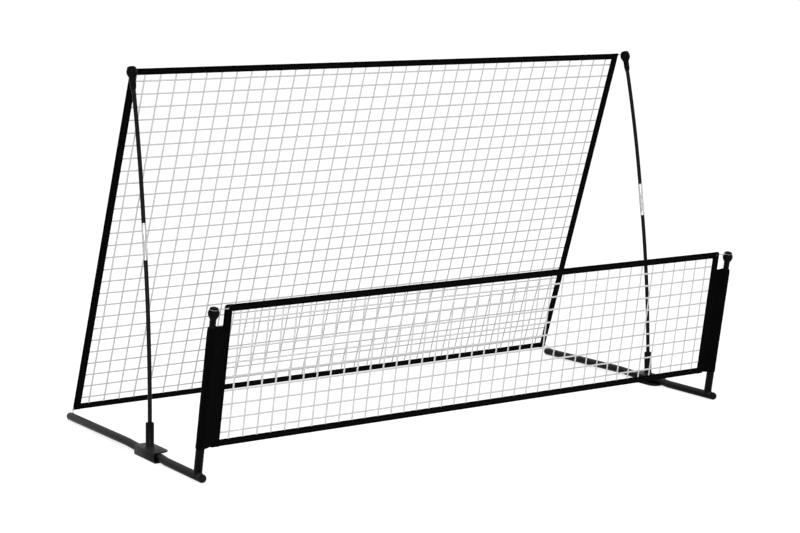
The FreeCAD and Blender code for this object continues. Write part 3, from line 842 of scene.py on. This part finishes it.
def net_mesh(net, name):
    """Uprights just in front of a net's plane, rows just behind it, and a lump at each crossing."""
    first = first_strand(net.rows * 2)
    lump = first_knot()
    uprights = []
    for column in range(net.columns + 1):
        share = 2.0 * column / net.columns - 1.0
        low = net.point(share * net.half(net.low - STRAND_TUCK), net.low - STRAND_TUCK, STRAND_OFFSET)
        high = net.point(share * net.half(net.high + STRAND_TUCK), net.high + STRAND_TUCK, STRAND_OFFSET)
        uprights.append(strand(name + "_upright", first, low, high, net.out, column))
    rows = []
    turn = axes_turn(X_AXIS, net.out, net.up)
    for row in range(net.rows + 1):
        up = net.height * row / net.rows
        reach = net.half(up) + net.side_margin + STRAND_TUCK
        left, right = net.point(-reach, up, -STRAND_OFFSET), net.point(reach, up, -STRAND_OFFSET)
        rows.append(strand(name + "_row", first, left, right, net.out, row + 0.5))
        place = Matrix.Translation(net.point(-net.half(up), up)) @ turn @ Matrix.Diagonal(KNOT_SIZE)
        knots = placed_copy(name + "_knots", lump, place)
        rows.append(repeated(knots, (2 * net.half(up) / net.columns, 0, 0), net.columns + 1))
    return joined(name + "_uprights_piece", uprights), joined(name + "_rows_piece", rows)


def tape(name, start, end, out, width, thickness, corner=0.0):
    """A length of border webbing: a strip with soft edges and a channel along its middle for the seam."""
    way = (end - start).normalized()
    length = (end - start).length
    even = int(length / TAPE_STEP)
    middle = [length * step / even for step in range(1, even)]
    levels = TAPE_END_STEPS + middle + [length - step for step in reversed(TAPE_END_STEPS)]
    deselect_all()
    bpy.ops.mesh.primitive_circle_add(vertices=len(TAPE_PROFILE), radius=1, fill_type="NGON")
    piece = bpy.context.object
    piece.name = name
    for vertex, (across, lift) in zip(piece.data.vertices, TAPE_PROFILE):
        vertex.co = (across * width, lift * thickness, 0)
    bpy.ops.object.mode_set(mode="EDIT")
    bpy.ops.mesh.select_all(action="SELECT")
    for below, above in zip(levels, levels[1:]):
        bpy.ops.mesh.extrude_region_move(TRANSFORM_OT_translate={"value": (0, 0, above - below)})
    leave_edit()
    chart = piece.data.uv_layers.new(name="UVMap")
    for loop in piece.data.loops:
        co = piece.data.vertices[loop.vertex_index].co
        chart.data[loop.index].uv = (co.z, co.x)
    for vertex in piece.data.vertices:
        co = vertex.co
        past = corner - (length - co.z)
        if past > 0 and co.x > 0:
            cut = corner - math.sqrt(max(corner ** 2 - past ** 2, 0.0))
            co.x -= cut * co.x / (width / 2)
        co.y += TAPE_RIPPLE * math.prod(math.sin(co.z * rate) for rate in TAPE_WAVES)
    cross = way.cross(out).normalized()
    piece.data.transform(Matrix.Translation(start) @ axes_turn(cross, out, way))
    if cross.cross(out).dot(way) < 0:
        piece.data.flip_normals()
    smooth(piece, 50)
    return piece


def stitches(name, start, end, out, rise):
    """A lockstitch seam: short thread bars on both faces of the cloth, at a rise from its middle."""
    way = (end - start).normalized()
    count = int((end - start).length / STITCH_PITCH)
    step = (end - start) / count
    cross = out.cross(way).normalized()
    rows = []
    for face_side in (1, -1):
        deselect_all()
        bpy.ops.mesh.primitive_uv_sphere_add(segments=6, ring_count=4, radius=1)
        piece = bpy.context.object
        size = Matrix.Diagonal((SEAM_THREAD_WIDTH / 2, SEAM_THREAD_WIDTH / 2, STITCH_LENGTH / 2, 1))
        middle = start + step / 2 + out * (face_side * rise)
        piece.data.transform(Matrix.Translation(middle) @ axes_turn(cross, out, way) @ size)
        rows.append(repeated(piece, step, count))
    piece = joined(name, rows)
    smooth(piece, 60)
    return piece


def net_tapes(net, name, corner):
    """Top, bottom and side tapes with their seams; the side tapes are laid over the cross tapes' ends."""
    half_tape = TAPE_WIDTH / 2
    for end, up in (("top", net.high + half_tape), ("bottom", net.low - half_tape)):
        reach = net.half(up) + net.side_margin + TAPE_OVERLAP
        start, stop = net.point(-reach, up), net.point(reach, up)
        piece = tape(f"{name}_{end}_tape_piece", start, stop, net.out, TAPE_WIDTH, CROSS_TAPE_THICKNESS)
        dress(piece, TAPE_WEBBING, "frame", "tape", f"{name}_{end}_tape")
        seam = stitches(f"{name}_{end}_seam", start, stop, net.out, CROSS_TAPE_THICKNESS * SEAM_DEPTH)
        dress(seam, SEAM_THREAD, "frame", "tape")
    low_up, high_up = net.low - TAPE_WIDTH, net.high + TAPE_WIDTH
    middle = net.side_margin + SIDE_TAPE_WIDTH / 2
    start = net.point(net.half(low_up) + middle, low_up)
    stop = net.point(net.half(high_up) + middle, high_up)
    piece = tape(f"{name}_side_tape", start, stop, net.out, SIDE_TAPE_WIDTH, TAPE_THICKNESS, corner)
    both_sides(piece, f"{name}_side_tape", TAPE_WEBBING, "frame", "tape", name + "_side_tape_{}")
    seam = stitches(f"{name}_side_seam", start, stop, net.out, TAPE_THICKNESS * SEAM_DEPTH)
    both_sides(seam, f"{name}_side_seam", SEAM_THREAD, "frame", "tape")


def eyelet():
    """A pressed eyelet in the small net's corner: a ring rolled over on both faces of the tape."""
    piece = turned("eyelet", in_mm([
        (2.3, -2.2), (3.0, -3.0), (3.9, -3.0), (4.6, -2.4), (4.6, 2.4), (3.9, 3.0), (3.0, 3.0),
        (2.3, 2.2)]), 28)
    stood_on(piece, Vector(FRONT_ROUTE_BEFORE[0]), SMALL.out)
    smooth(piece, 50)
    return piece


# Sleeves

def sleeve():
    """Cloth sleeve on the front post: round the post, drawn flat to its seam on the small net's tape."""
    deselect_all()
    bpy.ops.mesh.primitive_grid_add(x_subdivisions=48, y_subdivisions=72, size=1, calc_uvs=True)
    piece = bpy.context.object
    piece.name = "sleeve"
    height = SLEEVE_HIGH - SLEEVE_LOW
    for vertex in piece.data.vertices:
        turn = 2 * math.pi * (vertex.co.x + 0.5)
        share = vertex.co.y + 0.5
        up = SLEEVE_LOW + height * share
        seam = SMALL.point(SMALL.half(up) + SMALL.side_margin + SIDE_TAPE_WIDTH - SLEEVE_LAP, up)
        along = (seam - POST_FOOT).dot(SMALL.up) / POST_AXIS.dot(SMALL.up)
        centre = POST_FOOT + POST_AXIS * along
        reach = (seam - centre).dot(X_AXIS)
        lift = (seam - centre).dot(SMALL.out)
        from_end = min(share, 1 - share) * height
        hem = SLEEVE_HEM_LIFT if from_end < SLEEVE_HEM else 0.0
        drawn_in = SLEEVE_MOUTH_DRAW * math.exp(-((1 - share) * height / SLEEVE_MOUTH_REACH) ** 2)
        radius = POST_RADIUS + SLEEVE_EASE + hem - drawn_in
        x, y = math.cos(turn), math.sin(turn)
        pull = max(-x, 0.0) ** 3
        face = min(abs(y) * 6, 1.0) * (1 if y >= 0 else -1)
        flap = (TAPE_THICKNESS / 2 + SLEEVE_FLAP_EASE + hem) * face
        fold = math.prod(math.sin(upward * share + around * turn) for upward, around in SLEEVE_FOLDS)
        ripple = (SLEEVE_WRINKLE + SLEEVE_FLAP_WRINKLE * min(pull * 4, 1.0)) * (1 + fold)
        across = radius * x * (1 - pull) + reach * pull + ripple * x * (1 - pull)
        out = radius * y * (1 - pull) + (flap + lift) * pull + ripple * y
        vertex.co = centre + X_AXIS * across + SMALL.out * out
    for loop in piece.data.uv_layers.active.data:
        loop.uv = (loop.uv.x * SLEEVE_GIRTH, loop.uv.y * height)
    bpy.ops.object.mode_set(mode="EDIT")
    bpy.ops.mesh.select_all(action="SELECT")
    bpy.ops.mesh.remove_doubles(threshold=1e-5)
    leave_edit()
    wall = piece.modifiers.new("cloth", "SOLIDIFY")
    wall.thickness = SLEEVE_CLOTH_THICKNESS
    wall.offset = -1
    apply_modifiers(piece)
    smooth(piece, 60)
    return piece


def sleeve_seam():
    """The seam that holds the sleeve's flap on the side tape."""
    across = SMALL.side_margin + SIDE_TAPE_WIDTH - SLEEVE_LAP + SLEEVE_SEAM_INSET
    low, high = SLEEVE_LOW + SLEEVE_SEAM_END, SLEEVE_HIGH - SLEEVE_SEAM_END
    ends = [SMALL.point(SMALL.half(up) + across, up) for up in (low, high)]
    return stitches("sleeve_seam", *ends, SMALL.out, TAPE_THICKNESS / 2 + SLEEVE_SEAM_RISE)


# Cords

def cord_line(name, route, side):
    """A smooth line through its route's control points; the side is 1 for the right and -1 for the left."""
    points = [Vector((x * side, y, z)) for x, y, z in route]
    curve = bpy.data.curves.new(name, "CURVE")
    curve.dimensions = "3D"
    curve.resolution_u = 10
    line = curve.splines.new("NURBS")
    line.points.add(len(points) - 1)
    for target, point in zip(line.points, points):
        target.co = (*point, 1)
    line.order_u = 3
    line.use_endpoint_u = True
    return linked(name, curve)


def line_points(piece):
    """Points along a cord's own line, read before it has a thickness."""
    mesh = bpy.data.meshes.new_from_object(piece)
    points = [vertex.co.copy() for vertex in mesh.vertices]
    bpy.data.meshes.remove(mesh)
    return points


def cord_tube(name, route, side):
    """The cord as a mesh tube, with the points that it follows."""
    piece = cord_line(name, route, side)
    path = line_points(piece)
    piece.data.bevel_depth = CORD / 2
    piece.data.bevel_resolution = 3
    piece.data.use_fill_caps = True
    select_only(piece)
    bpy.ops.object.convert(target="MESH")
    piece = bpy.context.object
    smooth(piece, 60)
    return piece, path


def corner_loop():
    """Black elastic loop over the large net's top edge, which the top cord hooks into."""
    deselect_all()
    bpy.ops.mesh.primitive_torus_add(major_radius=LOOP_RADIUS, minor_radius=LOOP_THICKNESS / 2,
                                     major_segments=36, minor_segments=8, rotation=(0, math.pi / 2, 0))
    piece = bpy.context.object
    bpy.ops.object.transform_apply(location=True, rotation=True, scale=True)
    up = LARGE.high + TAPE_WIDTH / 2
    middle = LARGE.point(TOP_ROUTE[0][0], up + LOOP_RISE)
    turn = axes_turn(X_AXIS, LARGE.out, LARGE.up)
    piece.data.transform(Matrix.Translation(middle) @ turn @ Matrix.Diagonal((1, 0.5, 1, 1)))
    smooth(piece, 60)
    return piece


def cord_grommet():
    """Rubber grommet where the rear cord goes into the base tube."""
    piece = turned("cord_grommet", in_mm([
        (1.7, -2.0), (3.0, -2.0), (3.6, -0.6), (3.5, 0.3), (2.9, 0.9), (2.0, 0.9), (1.6, 0.4)]), 28)
    stood_on(piece, Vector(REAR_ROUTE[-1]) + Z_AXIS * REAR_CORD_SINK, Z_AXIS)
    smooth(piece, 50)
    return piece


def corner_cords():
    """The cord of each corner with the pieces that hold it, for both sides."""
    turns = both_sides(groove_turn("top_turn", TOP_CENTRE, TOP_AXIS, TOP_TURN), "top_turn",
                       BLACK_ELASTIC, "{}_pole_top", "cord")
    loops = both_sides(corner_loop(), "corner_loop", BLACK_ELASTIC, None, "cord")
    front_turns = both_sides(groove_turn("front_turn", POST_KNOB, POST_AXIS, FRONT_TURN, FRONT_TURN_RISE),
                             "front_turn", ELASTIC_CORD, "frame", "cord")
    eyelets = both_sides(eyelet(), "eyelet", BLACK_NICKEL, "frame", "tape")
    grommets = both_sides(cord_grommet(), "cord_grommet", MOULDED_PLASTIC, "frame", "black_plastic")
    for side, sign, front_route in (("right", 1, FRONT_ROUTE_BEHIND), ("left", -1, FRONT_ROUTE_BEFORE)):
        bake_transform(loops[side])
        piece, path = cord_tube(f"top_cord_{side}_piece", TOP_ROUTE, sign)
        dress(piece, ELASTIC_CORD, None, "cord", "top_cord_" + side)
        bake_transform(piece)
        piece, path = cord_tube(f"front_cord_{side}_piece", front_route, sign)
        dress(piece, ELASTIC_CORD, "frame", "cord", "front_cord_" + side)
        piece, path = cord_tube(f"rear_cord_{side}_piece", REAR_ROUTE, sign)
        dress(piece, ELASTIC_CORD, "frame", "cord", "rear_cord_" + side)


# Assembly

for MAKE, NAME in ((base_tube, "base_tube"), (bracket, "bracket"), (pole_socket, "pole_socket"),
                   (front_post, "front_post")):
    both_sides(MAKE(), NAME, POWDER_COAT, "frame", "frame_tube", NAME + "_{}")
both_sides(weld_bead(), "post_weld", POWDER_COAT, "frame", "frame_tube")
for MAKE, NAME, MATERIAL, NODE in ((end_caps, "end_caps", DUSTY_PLASTIC, "end_caps"),
                                   (socket_bush, "socket_bush", MOULDED_PLASTIC, "socket_bushes"),
                                   (front_knob, "front_knob", MOULDED_PLASTIC, "front_knobs")):
    PAIR = both_sides(MAKE(), NAME, MATERIAL, "frame", "black_plastic")
    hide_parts(NODE)

LOWER, FERRULE_PIECE, UPPER, KNOB, TOP_CENTRE, TOP_AXIS = pole_pieces()
both_sides(LOWER, "pole_lower", POLE_LACQUER, "{}_pole", "pole", "pole_lower_{}")
both_sides(FERRULE_PIECE, "ferrule", PLATED_STEEL, "{}_pole", "ferrule", "ferrule_{}")
both_sides(UPPER, "pole_upper", POLE_LACQUER, "{}_pole_top", "pole", "pole_upper_{}")
both_sides(KNOB, "top_knob", MOULDED_PLASTIC, "{}_pole_top", "pole", "pole_upper_{}")

for NET, NET_NAME, CORNER in ((LARGE, "large_net", 1 * MM), (SMALL, "small_net", 8 * MM)):
    UPRIGHTS, ROWS = net_mesh(NET, NET_NAME)
    dress(UPRIGHTS, NET_TWINE, "frame", "net_strand", NET_NAME + "_uprights")
    dress(ROWS, NET_TWINE, "frame", "net_strand", NET_NAME + "_rows")
    net_tapes(NET, NET_NAME, CORNER)

SEAMS = both_sides(sleeve_seam(), "sleeve_seam", SEAM_THREAD, "frame", "sleeve_fabric")
SLEEVES = both_sides(sleeve(), "sleeve", SLEEVE_CLOTH, "frame", "sleeve_fabric", "sleeve_{}")

corner_cords()


# Camera, lights and ground

def aimed(name, data, place, forward):
    """Puts a camera or lamp at a place, looking forward."""
    made = linked(name, data)
    made.location = place
    made.rotation_mode = "QUATERNION"
    made.rotation_quaternion = forward.to_track_quat("-Z", "Y")
    return made


def camera():
    """The photograph's own view."""
    level = math.cos(CAMERA_RISE)
    forward = Vector((math.sin(CAMERA_TURN) * level, math.cos(CAMERA_TURN) * level, -math.sin(CAMERA_RISE)))
    data = bpy.data.cameras.new("camera")
    data.sensor_width = SENSOR_WIDTH
    data.lens = FOCAL_PIXELS / PICTURE_PIXELS * SENSOR_WIDTH
    place = CAMERA_TARGET - forward * CAMERA_DISTANCE
    bpy.context.scene.camera = aimed("camera", data, place, forward)


def area_light(name, place, aim, size, power):
    """A round lamp at a place, aimed at a point."""
    data = bpy.data.lights.new(name, "AREA")
    data.shape = "DISK"
    data.size = size
    data.energy = power
    aimed(name, data, place, Vector(aim) - Vector(place))


def seen_strength(owner, unseen, seen):
    """One strength for rays from the camera and gloss, and another for all other rays."""
    rays = add_node(owner, "ShaderNodeLightPath")
    direct = maths(owner, "MAXIMUM", (rays, "Is Camera Ray"), (rays, "Is Glossy Ray"))
    return spread(owner, unseen, seen, direct)


def ground():
    """White floor that keeps the shadows: a little glow for camera and gloss makes it white there."""
    deselect_all()
    bpy.ops.mesh.primitive_plane_add(size=60)
    floor = bpy.context.object
    floor.name = "ground"
    m = new_material("white_ground")
    paper = add_node(m, "ShaderNodeBsdfDiffuse", {"Color": linear("#b4b4b4")})
    glow = add_node(m, "ShaderNodeEmission", links={"Strength": seen_strength(m, 0.0, GROUND_GLOW)})
    both = add_node(m, "ShaderNodeAddShader", links={0: (paper, "BSDF"), 1: (glow, "Emission")})
    add_node(m, "ShaderNodeOutputMaterial", links={"Surface": (both, "Shader")})
    floor.data.materials.append(m)


def sky():
    """White surroundings, a little dimmer as a light than as a background."""
    world = bpy.data.worlds.new("studio")
    world.use_nodes = True
    background = world.node_tree.nodes["Background"]
    background.inputs["Color"].default_value = (1, 1, 1, 1)
    strength, output = seen_strength(world, SKY_LIGHT, 1.0)
    world.node_tree.links.new(strength.outputs[output], background.inputs["Strength"])
    bpy.context.scene.world = world


camera()
sky()
ground()
for LAMP in LAMPS:
    area_light(*LAMP)
bpy.context.scene.view_settings.view_transform = "Standard"

deselect_all()
